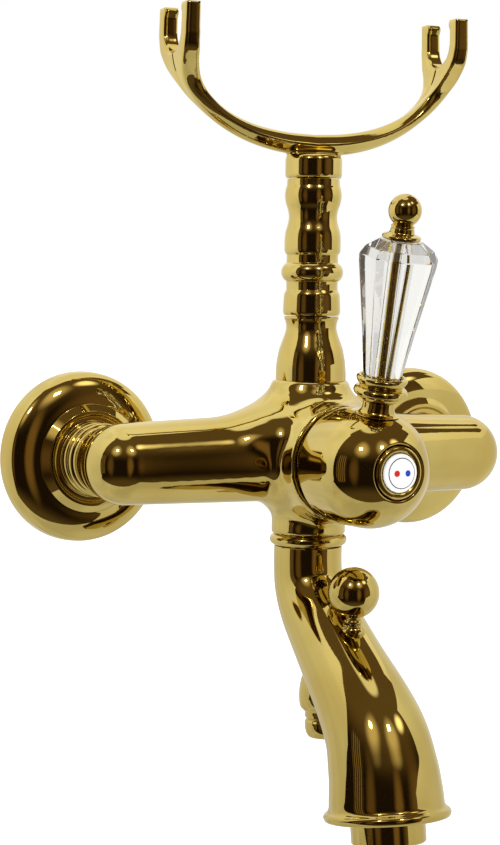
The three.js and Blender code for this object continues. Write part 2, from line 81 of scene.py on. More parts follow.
LAND_TO_CENTRE = 18.6  # from the flat land on the hub's dome back to the dome's centre
record = frame["record"]


def centre_mm(node):
    """Middle of a CAD node's box at rest, in millimetres."""
    low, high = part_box(node)
    return (low + high) / (2 * MM)


# ---- places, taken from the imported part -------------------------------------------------
COLUMN_Y = centre_mm("column_base").y
INLET_X = centre_mm("union_nut_right").x
HOSE_Y = centre_mm("hose_outlet").y
DIVERTER_Y = centre_mm("diverter_gland").y
BOSS_FRONT = -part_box("cartridge_nut")[0].y / MM - NUT_PROUD
HUB_BACK = -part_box("lever_hub")[1].y / MM
LAND = -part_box("lever_hub")[0].y / MM
HUB_R = (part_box("lever_hub")[1].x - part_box("lever_hub")[0].x) / (2 * MM)
DOME = Vector((0, LAND_TO_CENTRE - LAND, 0))
HANDLE_TILT = math.radians(12)
CRADLE_TURN = math.radians(-7)
OUTLET = (0, -103.3, -122.4)  # middle of the spout's mouth, where the aerator sits
OUTLET_LEAN = math.radians(-8)
GAP = 0.3  # between the dome and the stem that stands on it
RELIEF_DEPTH = 0.00002  # metres, the deepest mark that a bump node draws


# ---- shader helpers ---------------------------------------------------------------------
class Bench:
    """Lays out the nodes of one material, group or world."""

    def __init__(self, tree):
        self.tree = tree
        tree.nodes.clear()

    def node(self, kind, **values):
        made = self.tree.nodes.new(kind)
        for key, value in values.items():
            setattr(made, key, value)
        return made

    def put(self, socket, value):
        if isinstance(value, bpy.types.NodeSocket):
            self.tree.links.new(value, socket)
        else:
            socket.default_value = value

    def math(self, operation, a, b=0.0):
        made = self.node("ShaderNodeMath", operation=operation)
        for socket, value in zip(made.inputs, (a, b)):
            self.put(socket, value)
        return made.outputs[0]

    def ramp(self, value, low, high, start=0.0, end=1.0):
        """value eased from start to end between low and high."""
        made = self.node("ShaderNodeMapRange", interpolation_type="SMOOTHSTEP")
        for name, entry in (("Value", value), ("From Min", low), ("From Max", high),
                            ("To Min", start), ("To Max", end)):
            self.put(made.inputs[name], entry)
        return made.outputs["Result"]

    def mix(self, share, a, b):
        made = self.node("ShaderNodeMix", data_type="RGBA")
        self.put(made.inputs["Factor"], share)
        self.put(made.inputs[6], a)
        self.put(made.inputs[7], b)
        return made.outputs[2]

    def noise(self, place, scale, detail=2.0, roughness=0.5):
        made = self.node("ShaderNodeTexNoise")
        self.put(made.inputs["Vector"], place)
        self.put(made.inputs["Scale"], scale)
        made.inputs["Detail"].default_value = detail
        made.inputs["Roughness"].default_value = roughness
        return made.outputs["Fac"]

    def stretched(self, place, scale):
        made = self.node("ShaderNodeMapping", vector_type="POINT")
        self.put(made.inputs["Vector"], place)
        made.inputs["Scale"].default_value = scale
        return made.outputs["Vector"]

    def place(self):
        return self.node("ShaderNodeTexCoord").outputs["Object"]


def shader_group(name, inputs, outputs):
    """An empty shader group with named float or colour sockets, and its bench."""
    tree = bpy.data.node_groups.new(name, "ShaderNodeTree")
    kinds = {"float": "NodeSocketFloat", "colour": "NodeSocketColor"}
    for label, kind in inputs:
        tree.interface.new_socket(name=label, in_out="INPUT", socket_type=kinds[kind])
    for label, kind in outputs:
        tree.interface.new_socket(name=label, in_out="OUTPUT", socket_type=kinds[kind])
    bench = Bench(tree)
    return tree, bench, bench.node("NodeGroupInput").outputs, bench.node("NodeGroupOutput").inputs


def build_plate_polish():
    """Plated metal: cloudy tone, fine polishing marks and a few wiped smears."""
    tree, b, given, out = shader_group(
        "plate_polish",
        [("Light", "colour"), ("Deep", "colour"), ("Roughness", "float"), ("Marks", "float")],
        [("Colour", "colour"), ("Roughness", "float"), ("Height", "float")],
    )
    place = b.place()
    cloud = b.noise(place, 34.0, 3.0)
    smear = b.noise(b.stretched(place, (60.0, 60.0, 9.0)), 1.0, 4.0, 0.6)
    mark = b.noise(b.stretched(place, (900.0, 900.0, 70.0)), 1.0, 2.0, 0.7)
    b.put(out["Colour"], b.mix(b.ramp(cloud, 0.32, 0.7), given["Light"], given["Deep"]))
    wiped = b.math("MULTIPLY", b.ramp(smear, 0.52, 0.78), given["Marks"])
    fine = b.math("MULTIPLY", b.ramp(mark, 0.5, 0.85), given["Marks"])
    rise = b.math("ADD", b.math("MULTIPLY", wiped, 0.05), b.math("MULTIPLY", fine, 0.05))
    b.put(out["Roughness"], b.math("ADD", given["Roughness"], rise))
    b.put(out["Height"], b.math("ADD", cloud, b.math("MULTIPLY", mark, 0.04)))
    return tree


def build_moulded_grain():
    """Moulded or fired surfaces: speckled tone, fine grain for roughness and height."""
    tree, b, given, out = shader_group(
        "moulded_grain",
        [("Light", "colour"), ("Deep", "colour"), ("Roughness", "float"), ("Size", "float")],
        [("Colour", "colour"), ("Roughness", "float"), ("Height", "float")],
    )
    place = b.place()
    grain = b.noise(place, given["Size"], 4.0, 0.6)
    patch = b.noise(place, 60.0, 2.0)
    share = b.math("ADD", b.math("MULTIPLY", grain, 0.5), b.math("MULTIPLY", patch, 0.5))
    b.put(out["Colour"], b.mix(b.ramp(share, 0.35, 0.65), given["Light"], given["Deep"]))
    b.put(out["Roughness"], b.math("ADD", given["Roughness"], b.math("MULTIPLY", grain, 0.12)))
    b.put(out["Height"], grain)
    return tree


plate_polish = build_plate_polish()
moulded_grain = build_moulded_grain()


def new_material(name):
    material = bpy.data.materials.new(name)
    material.use_nodes = True
    b = Bench(material.node_tree)
    skin = b.node("ShaderNodeBsdfPrincipled")
    output = b.node("ShaderNodeOutputMaterial")
    b.put(output.inputs["Surface"], skin.outputs[0])
    return material, b, skin


def finish_material(name, group, light, deep, roughness, last, metallic=0.0, bump=0.0):
    """A material whose tone, roughness and height come from one of the two groups. The value
    called last is the group's own last input, Marks or Size."""
    material, b, skin = new_material(name)
    effect = b.node("ShaderNodeGroup", node_tree=group)
    for label, value in (("Light", (*light, 1)), ("Deep", (*deep, 1)), ("Roughness", roughness)):
        effect.inputs[label].default_value = value
    effect.inputs[3].default_value = last
    skin.inputs["Metallic"].default_value = metallic
    b.put(skin.inputs["Base Color"], effect.outputs["Colour"])
    b.put(skin.inputs["Roughness"], effect.outputs["Roughness"])
    if bump:
        relief = b.node("ShaderNodeBump")
        relief.inputs["Strength"].default_value = bump
        relief.inputs["Distance"].default_value = RELIEF_DEPTH
        b.put(relief.inputs["Height"], effect.outputs["Height"])
        b.put(skin.inputs["Normal"], relief.outputs["Normal"])
    return material, b, skin, effect


GOLD_LIGHT = (0.69, 0.545, 0.175)
GOLD_DEEP = (0.64, 0.48, 0.135)
polished_gold = finish_material(
    "polished_gold", plate_polish, GOLD_LIGHT, GOLD_DEEP, 0.035, 0.6, metallic=1.0)[0]
# Raw brass: its colours are darkened well below bare brass as painted shade, so the gap between the
# hub and the body's boss round the cartridge nut looks dark.
raw_brass = finish_material(
    "raw_brass", plate_polish, (0.42, 0.28, 0.11), (0.30, 0.18, 0.06), 0.28, 2.4,
    metallic=1.0, bump=0.3)[0]
turned_steel = finish_material(
    "turned_steel", plate_polish, (0.63, 0.63, 0.61), (0.52, 0.52, 0.51), 0.2, 2.0,
    metallic=1.0, bump=0.3)[0]
seal_rubber = finish_material(
    "seal_rubber", moulded_grain, (0.03, 0.03, 0.03), (0.012, 0.012, 0.012), 0.55, 2200.0,
    bump=0.5)[0]
moulded_nylon = finish_material(
    "moulded_nylon", moulded_grain, (0.84, 0.82, 0.76), (0.74, 0.72, 0.65), 0.38, 1500.0,
    bump=0.2)[0]
lapped_ceramic = finish_material(
    "lapped_ceramic", moulded_grain, (0.82, 0.79, 0.72), (0.72, 0.68, 0.6), 0.12, 2600.0)[0]


DOT_PLACE = 2.3
DOT_R = 1.15


def build_index_enamel():
    """White enamel with a thin grey ring, a red dot for hot and a blue dot for cold."""
    material, b, skin, effect = finish_material(
        "index_enamel", moulded_grain, (0.93, 0.93, 0.92), (0.88, 0.88, 0.87), 0.1, 900.0)
    parts = b.node("ShaderNodeSeparateXYZ")
    b.put(parts.inputs[0], b.place())
    x, z = parts.outputs["X"], parts.outputs["Z"]

    def distance(across):
        dx = b.math("SUBTRACT", x, across * MM)
        return b.math("SQRT", b.math("ADD", b.math("MULTIPLY", dx, dx), b.math("MULTIPLY", z, z)))

    def disc(across, radius):
        edge = 0.05 * MM
        return b.ramp(distance(across), radius * MM - edge, radius * MM + edge, 1.0, 0.0)

    ring = b.math("SUBTRACT", disc(0, 5.6), disc(0, 5.25))
    colour = b.mix(ring, effect.outputs["Colour"], (0.05, 0.05, 0.05, 1))
    colour = b.mix(disc(-DOT_PLACE, DOT_R), colour, (0.62, 0.02, 0.015, 1))
    colour = b.mix(disc(DOT_PLACE, DOT_R), colour, (0.015, 0.06, 0.5, 1))
    b.put(skin.inputs["Base Color"], colour)
    skin.inputs["Coat Weight"].default_value = 0.6
    return material


def build_cut_crystal():
    """Clear lead crystal with the faintest waviness left by polishing."""
    material, b, skin = new_material("cut_crystal")
    place = b.place()
    wave = b.noise(place, 90.0, 2.0)
    tint = b.mix(b.ramp(wave, 0.3, 0.7), (1.0, 1.0, 1.0, 1), (0.97, 0.99, 1.0, 1))
    b.put(skin.inputs["Base Color"], tint)
    b.put(skin.inputs["Roughness"], b.ramp(wave, 0.55, 0.9, 0.0, 0.03))
    skin.inputs["IOR"].default_value = 1.54
    skin.inputs["Transmission Weight"].default_value = 1.0
    return material


index_enamel = build_index_enamel()
cut_crystal = build_cut_crystal()
MATERIAL_OF_SLOT = {
    "polished_gold": polished_gold,
    "raw_brass": raw_brass,
    "steel": turned_steel,
    "seal_rubber": seal_rubber,
    "nylon": moulded_nylon,
    "disc_ceramic": lapped_ceramic,
    "white_enamel": index_enamel,
    "crystal": cut_crystal,
}


# ---- mesh helpers -----------------------------------------------------------------------
def flow(points, steps=5):
    """A smooth line through the points, with steps short stretches between each two."""
    p = [np.array(point, float) for point in points]
    p = [2 * p[0] - p[1], *p, 2 * p[-1] - p[-2]]
    line = []
    for a, b, c, d in zip(p, p[1:], p[2:], p[3:]):
        for i in range(steps):
            t = i / steps
            line.append(0.5 * (2 * b + (c - a) * t + (2 * a - 5 * b + 4 * c - d) * t * t
                               + (3 * b - a - 3 * c + d) * t ** 3))
    line.append(p[-2])
    return [tuple(point) for point in line]


def bow(r, h, size, start, end, steps=14):
    """A round stretch of outline about (r, h), angles in degrees."""
    angles = np.radians(np.linspace(start, end, steps + 1))
    return [(r + size * math.cos(a), h + size * math.sin(a)) for a in angles]


SHARP_TURN = math.radians(20)  # corners that turn less than this are left alone
CUT_SHARE = 0.42  # the most that rounding takes off either side of a corner


def soften(outline, radius=0.3, closed=True, steps=3):
    """The outline with its corners rounded off."""
    count = len(outline)
    line = []
    for i, corner in enumerate(outline):
        if not closed and i in (0, count - 1):
            line.append(corner)
            continue
        before, here, after = (np.array(outline[(i + k) % count], float) for k in (-1, 0, 1))
        back, on = before - here, after - here
        lengths = np.linalg.norm(back), np.linalg.norm(on)
        turn = math.acos(max(-1.0, min(1.0, -back @ on / (lengths[0] * lengths[1]))))
        if turn < SHARP_TURN:
            line.append(corner)
            continue
        cut = min(radius * math.tan(turn / 2), CUT_SHARE * min(lengths))
        start, end = here + back * cut / lengths[0], here + on * cut / lengths[1]
        for k in range(steps + 1):
            t = k / steps
            line.append(tuple((1 - t) ** 2 * start + 2 * t * (1 - t) * here + t * t * end))
    return line


def closer(outline, step):
    """The closed outline with no stretch longer than step."""
    line = []
    for a, b in zip(outline, outline[1:] + outline[:1]):
        a, b = np.array(a, float), np.array(b, float)
        pieces = max(1, math.ceil(np.linalg.norm(b - a) / step))
        line += [tuple(a + (b - a) * k / pieces) for k in range(pieces)]
    return line


def turned(outline, steps=96):
    """Points and faces of a piece turned about +Z. An outline that starts and ends on the axis
    is solid, and any other closes on itself and has a bore."""
    solid = outline[0][0] < 1e-6 and outline[-1][0] < 1e-6
    rings = outline[1:-1] if solid else outline
    angles = np.arange(steps) * 2 * math.pi / steps
    circle = np.stack([np.sin(angles), -np.cos(angles)], 1)
    points = np.concatenate([np.column_stack([circle * r, np.full(steps, h)]) for r, h in rings])
    faces = []
    last = len(rings) - 1 if solid else len(rings)
    for i in range(last):
        a, b = i * steps, ((i + 1) % len(rings)) * steps
        for k in range(steps):
            n = (k + 1) % steps
            faces.append((a + k, a + n, b + n, b + k))
    if solid:
        low, high = len(points), len(points) + 1
        points = np.concatenate([points, [[0, 0, outline[0][1]], [0, 0, outline[-1][1]]]])
        top = (len(rings) - 1) * steps
        for k in range(steps):
            n = (k + 1) % steps
            faces.append((low, n, k))
            faces.append((high, top + k, top + n))
    return points, faces


def join(*shapes):
    """Several (points, faces) as one."""
    points, faces, start = [], [], 0
    for some_points, some_faces in shapes:
        points.append(np.asarray(some_points, float))
        faces += [tuple(start + i for i in face) for face in some_faces]
        start += len(some_points)
    return np.concatenate(points), faces


def moved(shape, place=(0, 0, 0), turn=None):
    """The shape turned about the origin, then shifted to its place."""
    points, faces = shape
    points = np.asarray(points, float)
    if turn is not None:
        points = points @ np.array(turn.to_3x3()).T
    return points + np.array(place, float), faces


OUT_OF_WALL = Matrix.Rotation(math.pi / 2, 4, "X")
LEVER_TURN = Matrix.Rotation(HANDLE_TILT, 4, "X")
OUTLET_TURN = Matrix.Rotation(OUTLET_LEAN, 4, "X")


def piece(name, shape, node, normals=None, smooth_angle=32):
    """A finished piece that stands for a CAD node, rides on its body and has its slot."""
    points, faces = shape
    mesh = bpy.data.meshes.new(name)
    mesh.from_pydata((np.asarray(points, float) * MM).tolist(), [], faces)
    work = bmesh.new()
    work.from_mesh(mesh)
    if normals is None:
        bmesh.ops.recalc_face_normals(work, faces=work.faces)
    work.to_mesh(mesh)
    work.free()
    mesh.shade_smooth()
    if normals is None:
        mesh.set_sharp_from_angle(angle=math.radians(smooth_angle))
    else:
        mesh.normals_split_custom_set_from_vertices(normals.tolist())
    made = bpy.data.objects.new(name, mesh)
    bpy.context.scene.collection.objects.link(made)
    slot = SLOT_OF_NODE[node]
    mesh.materials.append(MATERIAL_OF_SLOT[slot])
    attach(made, frame["nodes"][node]["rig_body"])
    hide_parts(node)
    return made


SLOT_OF_NODE = {row["node"]: row["material_slot"] for row in record["subparts"]}
for node_name, node_object in frame["nodes"].items():
    node_object.data.materials.clear()
    node_object.data.materials.append(MATERIAL_OF_SLOT[SLOT_OF_NODE[node_name]])


# ---- wall unions, escutcheons and nuts --------------------------------------------------
def escutcheon_outline():
    """A domed bell with a stepped collar round the neck, open at the wall."""
    dome = flow([(32.3, 2.2), (31.9, 5.6), (30.4, 8.2), (27.6, 10.0), (24, 11.2), (20.4, 11.8)], 4)
    return soften([
        (27, 0), (31.6, 0), (32.3, 0.8), *dome, (17.9, 14.3), (16.6, 14.5), (16.0, 13.6),
        (14.2, 13.8), (13.9, 15.2), (12.4, 15.2), (12.4, 11), (22, 9.6), (27.6, 6),
    ], 0.5)


def union_nut_outline():
    """Two rounded beads with a groove between them."""
    front = bow(12.3, 17.3, 1.6, -50, 60, 8)
    back = bow(12.2, 21.6, 1.7, -70, 72, 10)
    return soften([(12.3, 15.6), *front, (13.1, 19), *back, (12.4, 24), (10.4, 24),
                   (10.4, 22.2), (12.3, 22.2)], 0.25)


def wall_union_outline():
    """A threaded tail inside the wall and a plain neck that the nut pulls against."""
    thread = []
    root, crest, first, pitch = 9.7, 10.4, -18.6, 1.4
    for turn in range(12):
        h = first + turn * pitch
        thread += [(root, h), (crest, h + 0.45), (crest, h + 0.8)]
    return [(6.5, -20), (9.2, -20), (9.6, -19.4), *thread, (crest, -1.5), (11.6, -1.5),
            (11.6, 7), (11, 8), (11, 13), (11.9, 13.6), (11.9, 17), (6.5, 17)]


for side, x in (("left", -INLET_X), ("right", INLET_X)):
    for label, outline in (("escutcheon", escutcheon_outline()), ("union_nut", union_nut_outline()),
                           ("wall_union", wall_union_outline())):
        piece(f"{label}_{side}_turned", moved(turned(outline, 128), (x, 0, 0), OUT_OF_WALL),
              f"{label}_{side}")


# ---- smooth cast shapes -----------------------------------------------------------------
def outline_distance(r, h, outline):
    """Signed distance to a closed outline, negative inside."""
    closest = np.full(r.shape, 1e9)
    inside = np.zeros(r.shape, bool)
    for (r0, h0), (r1, h1) in zip(outline, outline[1:] + outline[:1]):
        dr, dh = r1 - r0, h1 - h0
        length = dr * dr + dh * dh
        if length < 1e-12:
            continue
        if r0 or r1:  # a stretch along the axis is no edge
            t = np.clip(((r - r0) * dr + (h - h0) * dh) / length, 0, 1)
            closest = np.minimum(closest, (r - r0 - t * dr) ** 2 + (h - h0 - t * dh) ** 2)
        if dh:
            crosses = ((h0 > h) != (h1 > h)) & (r < r0 + (h - h0) * dr / dh)
            inside ^= crosses
    return np.where(inside, -1, 1) * np.sqrt(closest)


def blended(a, b, size):
    """Union of two distances with a fillet."""
    h = np.maximum(size - np.abs(a - b), 0) / size
    return np.minimum(a, b) - h * h * size / 4


def cut(a, b, size):
    """a without b, its edges rounded."""
    return -blended(-a, b, size)


CORNERS = np.array([(i, j, k) for i in (0, 1) for j in (0, 1) for k in (0, 1)])


def sampled(field, low, shape, step):
    """The field on a grid, worked out finely only near the surface."""
    stride, reach = 4, 2.6
    coarse_shape = [n // stride + 2 for n in shape]
    axes = [low[i] + np.arange(coarse_shape[i]) * step * stride for i in range(3)]
    grid = np.stack(np.meshgrid(*axes, indexing="ij"), -1).reshape(-1, 3)
    coarse = field(grid).reshape(coarse_shape)
    near = [np.minimum(np.arange(n) // stride, coarse_shape[i] - 1) for i, n in enumerate(shape)]
    values = coarse[np.ix_(*near)]
    fine = np.argwhere(np.abs(values) < stride * step * reach)
    values[tuple(fine.T)] = field(np.array(low) + fine * step)
    return values


def surface_net(values, low, step):
    """Points and four-sided faces where the sampled field is zero."""
    inside = values < 0
    n = np.array(values.shape) - 1
    corner = [values[i:i + n[0], j:j + n[1], k:k + n[2]] for i, j, k in CORNERS]
    count = sum((c < 0).astype(int) for c in corner)
    cells = np.argwhere((count > 0) & (count < 8))
    number = np.full(n, -1)
    number[tuple(cells.T)] = np.arange(len(cells))
    held = [c[tuple(cells.T)] for c in corner]
    total, hits = np.zeros((len(cells), 3)), np.zeros(len(cells))
    for a in range(8):
        for b in range(a + 1, 8):
            if np.abs(CORNERS[a] - CORNERS[b]).sum() != 1:
                continue
            crossing = (held[a] < 0) != (held[b] < 0)
            gap = np.where(crossing, held[a] - held[b], 1)
            t = np.where(crossing, held[a] / gap, 0)
            total += (CORNERS[a] + t[:, None] * (CORNERS[b] - CORNERS[a])) * crossing[:, None]
            hits += crossing
    points = (cells + total / hits[:, None]) * step + np.array(low)
    faces = []
    for axis in range(3):
        one, two = (axis + 1) % 3, (axis + 2) % 3
        ahead = np.roll(inside, -1, axis)
        edges = np.argwhere(inside != ahead)
        edges = edges[(edges[:, axis] < n[axis]) & (edges[:, one] > 0) & (edges[:, two] > 0)]
        edges = edges[(edges[:, one] < n[one]) & (edges[:, two] < n[two])]
        steps = np.zeros((4, 3), int)
        steps[1:3, one] = -1
        steps[2:4, two] = -1
        quads = np.stack([number[tuple((edges + s).T)] for s in steps], 1)
        outward = inside[tuple(edges.T)]
        faces.append(np.where(outward[:, None], quads, quads[:, ::-1]))
    return points, np.concatenate(faces)


def slope(field, points, reach=0.02):
    """How fast the field grows along each axis."""
    steps = np.eye(3) * reach
    return np.stack([field(points + s) - field(points - s) for s in steps], 1) / (2 * reach)


def cast(field, low, high, step, smoothing=3):
    """A smooth skin on the field's zero surface, as (points, faces) and its normals."""
    shape = [int((b - a) / step) + 2 for a, b in zip(low, high)]
    points, faces = surface_net(sampled(field, low, shape, step), low, step)
    for _ in range(3):
        g = slope(field, points)
        size = np.maximum((g * g).sum(1), 0.05)
        shift = g * (field(points) / size)[:, None]
        points -= np.clip(shift, -0.5 * step, 0.5 * step)
    normals = slope(field, points)
    normals /= np.maximum(np.linalg.norm(normals, axis=1), 1e-9)[:, None]
    for _ in range(smoothing):
        total = normals * 2
        for a, b in ((0, 1), (1, 2), (2, 3), (3, 0)):
            np.add.at(total, faces[:, a], normals[faces[:, b]])
            np.add.at(total, faces[:, b], normals[faces[:, a]])
        normals = total / np.maximum(np.linalg.norm(total, axis=1), 1e-9)[:, None]
    return (points, faces.tolist()), normals


# ---- mixer body -------------------------------------------------------------------------
ARM_R = 15.0
ARM_SWELL = 1.9  # added to the arms' radius at the body
ARM_RISE = 1.5  # height of the arms' line at the body
ELBOW_Y = -39.4
ARM_BOW = -44.9  # the arms' line where it passes the body
ARM_BEND = 8.83  # how the line comes back towards the wall at the elbows
ARM_EASE = 3.33  # and levels off there
WATERWAY_R = 8.0
CHAMBER_R = 18.2
CHAMBER_END = 44
OUTLET_BORE_R = 9.8
SOCKET_R = 7
INLET_BORE_R = 7.6
TAIL = [(0, 19.3), (11.7, 19.3), (11.7, 21.8), (10, 21.8), (10, 24.4), (12.4, 24.6),
        *flow([(12.4, 24.6), (13.0, 26.4), (13.3, 29), (13.4, 34)], 3)[1:], (0, 36)]
BOSS = [(0, 28), (14, 28.5), *flow([(14, 28.5), (19.5, 33), (21.4, 40), (21.8, 46)], 4)[1:],
        (21.8, BOSS_FRONT), (0, BOSS_FRONT)]
COLLAR = [(0, -27.9), (13.5, -27.9), (14, -27.3), (14, -21),
          *flow([(14, -21), (15.5, -17), (20, -9), (21, 0), (20.2, 12), (16.4, 19),
                 (13.8, 25), (13.2, 29)], 4)[1:], (0, 29)]


def arm_line(x):
    """Where the arms' line lies at x, and its lean there."""
    bend = ((x / INLET_X) ** 2 * ARM_BEND - (x / INLET_X) ** 4 * ARM_EASE)
    lean = (2 * ARM_BEND * x / INLET_X - 4 * ARM_EASE * (x / INLET_X) ** 3) / INLET_X
    return ARM_BOW + bend, lean


def arms_distance(p, radius, swell, rise):
    """Both arms as one bent bar that is thicker and higher towards the body."""
    x = np.clip(p[:, 0], -INLET_X, INLET_X)
    y, lean = arm_line(x)
    near = 1 - np.abs(x) / INLET_X
    across = (p[:, 1] - y) / np.sqrt(1 + lean * lean)
    distance = np.sqrt((p[:, 0] - x) ** 2 + across ** 2 + (p[:, 2] - rise * near) ** 2)
    return distance - radius - swell * near


def body_field(p):
    """Arms, collar, boss and tails run into one casting, with its waterways cut out."""
    x, y, z = p.T
    arms = arms_distance(p, ARM_R, ARM_SWELL, ARM_RISE)
    tails = outline_distance(np.hypot(np.abs(x) - INLET_X, z), -y, TAIL)
    boss = outline_distance(np.hypot(x, z), -y, BOSS)
    collar = outline_distance(np.hypot(x, y - COLUMN_Y), z, COLLAR)
    rise = np.clip((z + 4) / 16, 0, 1)
    body = blended(arms, collar, 6 + 16 * rise * rise * (3 - 2 * rise))
    body = blended(body, boss, 5)
    body = blended(body, tails, 2.2)
    chamber = np.maximum(np.hypot(x, z) - CHAMBER_R, y + CHAMBER_END)
    outlet = np.maximum(np.hypot(x, y - COLUMN_Y) - OUTLET_BORE_R, z + 12)
    socket = np.maximum(np.hypot(x, y - COLUMN_Y) - SOCKET_R, 21 - z)
    inlets = np.maximum(np.hypot(np.abs(x) - INLET_X, z) - INLET_BORE_R, ELBOW_Y - y)
    for hollow in (chamber, outlet, socket, inlets, arms_distance(p, WATERWAY_R, 0, 0)):
        body = cut(body, hollow, 0.7)
    return body


body_shape, body_normals = cast(body_field, (-92, -72, -30), (92, -17, 31), 0.8)
piece("mixer_body_cast", body_shape, "mixer_body", normals=body_normals)


# ---- lever hub, button and index disc ---------------------------------------------------
def on_hub(outline):
    """A turned piece on the cartridge's axis, its heights measured out from the wall."""
    return moved(turned(outline, 128), (0, 0, 0), OUT_OF_WALL)


BUTTON_SEAT_R = 10.9
dome_h = -DOME.y
dome_end = math.degrees(math.acos(BUTTON_SEAT_R / HUB_R))
piece("lever_hub_turned", on_hub(soften([
    (18.6, HUB_BACK), (HUB_R, HUB_BACK), (HUB_R, dome_h - 6), *bow(0, dome_h, HUB_R, 0, dome_end, 40),
    (10.1, LAND), (10.1, 101), (4.3, 101), (4.3, 85), (13, 85), (18.6, 80),
], 0.35)), "lever_hub")
piece("hub_button_turned", on_hub(soften([
    (0, 104.2), (9.7, 104.2), (9.7, 106), *bow(8.4, 106.6, 1.3, 0, 110, 12), (7.3, 107.4),
    (7.3, 106.9), (0, 106.9),
], 0.2, closed=False)), "hub_button")
piece("index_disc_turned", on_hub(soften([
    (0, 107.2), (7, 107.2), (7, 107.8), *flow([(6.8, 108.2), (5.6, 108.8), (3.2, 109.3),
                                               (0, 109.5)], 4),
], 0.1, closed=False)), "index_disc")


# ---- crystal handle ---------------------------------------------------------------------
def on_lever(outline, steps=96):
    """A turned piece on the leaning lever, its heights measured from the dome's centre."""
    return moved(turned(outline, steps), DOME, LEVER_TURN)


seat = [(r, math.sqrt((HUB_R + GAP) ** 2 - r * r)) for r in np.linspace(0, 8.2, 12)]
piece("handle_stem_turned", on_lever(soften([
    *seat, *flow([(8.0, 20.7), (6.8, 21.2), (6.1, 22.1), (5.85, 23.4), (5.8, 25.4)], 3), (0, 25.4),
], 0.2, closed=False)), "handle_stem")
piece("crystal_cup_turned", on_lever(soften([
    (2.6, 25.7), (6.4, 25.7), (7.2, 26.4), (7.4, 27.2), *bow(8, 29, 1.8, -62, 62, 10),
    (7.7, 30.9), (7.9, 31.4), *flow([(8.5, 31.9), (9.2, 33.2), (9.2, 34.1), (8.5, 34.7)], 4),
    (7.7, 34.7), (7.3, 32.4), (2.6, 32.4),
], 0.2)), "crystal_cup")
piece("tie_rod_turned", on_lever(soften([
    (0, 21), (1.6, 21), (1.6, 25.7), (2.2, 25.7), (2.2, 94.2), (0, 94.2),
], 0.15, closed=False), 48), "tie_rod")
piece("top_collar_turned", on_lever(soften([
    (2.6, 84.4), (6.2, 84.4), *bow(6.2, 85.2, 0.8, -60, 80, 8),
    *flow([(5.7, 86.2), (4.9, 86.5), (4.4, 87.1), (4.2, 88.4)], 3), (2.6, 88.4),
], 0.2)), "top_collar")
piece("ball_finial_turned", on_lever(soften([
    (2.6, 88.7), (4.2, 88.7), (4.2, 89.3), (3.6, 89.7), *bow(0, 94.6, 5.9, -54, 90, 30),
    (0, 94.6), (2.6, 94.6),
], 0.15)), "ball_finial")


def crystal_shape():
    """Eight long flat facets that flare up to a shoulder and turn in over a low crown."""
    sides = 8
    rows = [(6.6, 32.8), (7.5, 36.6), (9.6, 50.5), (14.1, 75.6), (14.3, 78.2), (12.4, 81.2),
            (8, 84)]
    points = []
    for radius, height in rows:
        for k in range(sides):
            angle = (k + 0.5) * 2 * math.pi / sides
            points.append((radius * math.sin(angle), -radius * math.cos(angle), height))
    faces = []
    for row in range(len(rows) - 1):
        for k in range(sides):
            n, a, b = (k + 1) % sides, row * sides, (row + 1) * sides
            faces.append((a + k, a + n, b + n, b + k))
    bore, steps = 2.7, 32
    start = len(points)
    for height in (rows[0][1], rows[-1][1]):
        for k in range(steps):
            angle = k * 2 * math.pi / steps
            points.append((bore * math.sin(angle), -bore * math.cos(angle), height))
    for k in range(steps):
        n = (k + 1) % steps
        faces.append((start + k, start + steps + k, start + steps + n, start + n))
    share = steps // sides
    for ring, outer in ((start, 0), (start + steps, (len(rows) - 1) * sides)):
        for k in range(sides):
            first = round((k + 0.5) * share)
            inner = [ring + (first + j) % steps for j in range(share + 1)]
            faces.append((outer + k, outer + (k + 1) % sides, *reversed(inner)))
    return moved((points, faces), DOME, LEVER_TURN)


crystal = piece("crystal_lever_cut", crystal_shape(), "crystal_lever", smooth_angle=14)
bevel = crystal.modifiers.new("cut edges", "BEVEL")
bevel.width = 0.22 * MM
bevel.segments = 1
bevel.limit_method = "ANGLE"
bevel.angle_limit = math.radians(16)


# ---- column -----------------------------------------------------------------------------
def on_column(outline):
    return moved(turned(outline, 128), (0, COLUMN_Y, 0))


piece("column_base_turned", on_column(soften([
    (0, 21.4), (6.6, 21.4), (6.6, 29.3), (12.9, 29.3), (13.3, 30.2),
    *flow([(13.3, 31), (13.2, 35), (12.8, 38.4), (12.1, 41.6), (11.0, 44.8), (10.0, 47.6),
           (9.5, 50), (9.8, 52.2), (10.3, 53.4)], 5),
    (10.3, 54.3), (6.3, 54.3), (6.3, 45), (0, 45),
], 0.2, closed=False)), "column_base")
piece("column_shaft_turned", on_column(soften([
    (0, 45.4), (6, 45.4), (6, 54.6), (10.3, 54.6),
    *flow([(10.5, 55), (10.8, 56), (10.7, 59), (10.5, 62.2), (10.0, 63.6)], 4),
    (9.7, 64.1), (9.7, 66.0), *bow(7.6, 70.8, 4.1, -58, 58, 18), (9.7, 75.6), (9.7, 77.3),
    (10.3, 78), *flow([(10.6, 79), (10.6, 83), (10.3, 86), (9.5, 88.8), (9.1, 91.4), (9.5, 94.2),
                       (10.3, 96.6), (10.7, 99.2), (10.5, 101.6), (10.0, 103.4)], 4),
    (9.9, 105.7), (6.3, 105.7), (6.3, 92), (0, 92),
], 0.25, closed=False)), "column_shaft")


